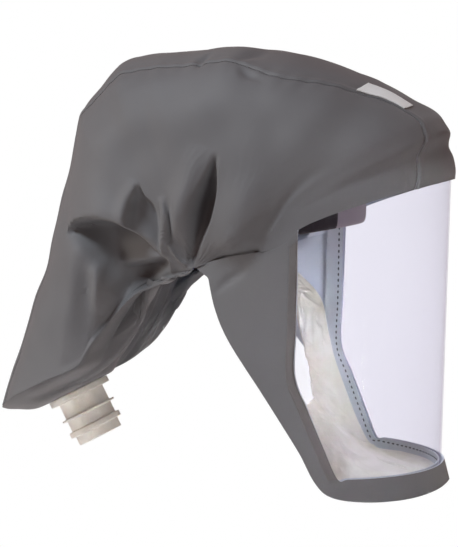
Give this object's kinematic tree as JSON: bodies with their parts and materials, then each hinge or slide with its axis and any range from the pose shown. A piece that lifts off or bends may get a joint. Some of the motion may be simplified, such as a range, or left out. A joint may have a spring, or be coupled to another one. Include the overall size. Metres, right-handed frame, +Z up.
{
  "type": "powered air respirator hood",
  "caption": "Loose grey cloth hood as worn: clear wrap-round visor, sewn seam lines, gathered sides, face seal, head band, and an air duct at the back with a hose connector.",
  "frame": {"origin": "centre of the head band, on the mid plane, where the hood sits on a head", "axes": "+X to the wearer's left, +Y to the back of the head, +Z up"},
  "size_m": [0.1972, 0.3224, 0.299],
  "materials": {
    "hood_cloth": "matt grey coated cloth",
    "visor_film": "clear glossy film with a faint lavender tint",
    "binding_cloth": "matt grey cloth strip",
    "tape_cloth": "matt light blue-grey tape with a row of dark stitches",
    "seal_cloth": "matt cream stretch cloth",
    "band_pad": "matt black padded band",
    "connector_plastic": "satin cream plastic",
    "label_cloth": "plain white woven patch"
  },
  "bodies": {
    "root": {"crown_panel": "hood_cloth", "side_panel_left": "hood_cloth", "side_panel_right": "hood_cloth", "chin_panel": "hood_cloth", "duct_floor": "hood_cloth", "visor": "visor_film", "visor_binding_left": "binding_cloth", "visor_binding_right": "binding_cloth", "visor_tape": "tape_cloth", "face_seal": "seal_cloth", "headband": "band_pad", "headband_tab_left": "band_pad", "headband_tab_right": "band_pad", "hose_connector": "connector_plastic", "label_patch": "label_cloth"}
  },
  "joints": []
}
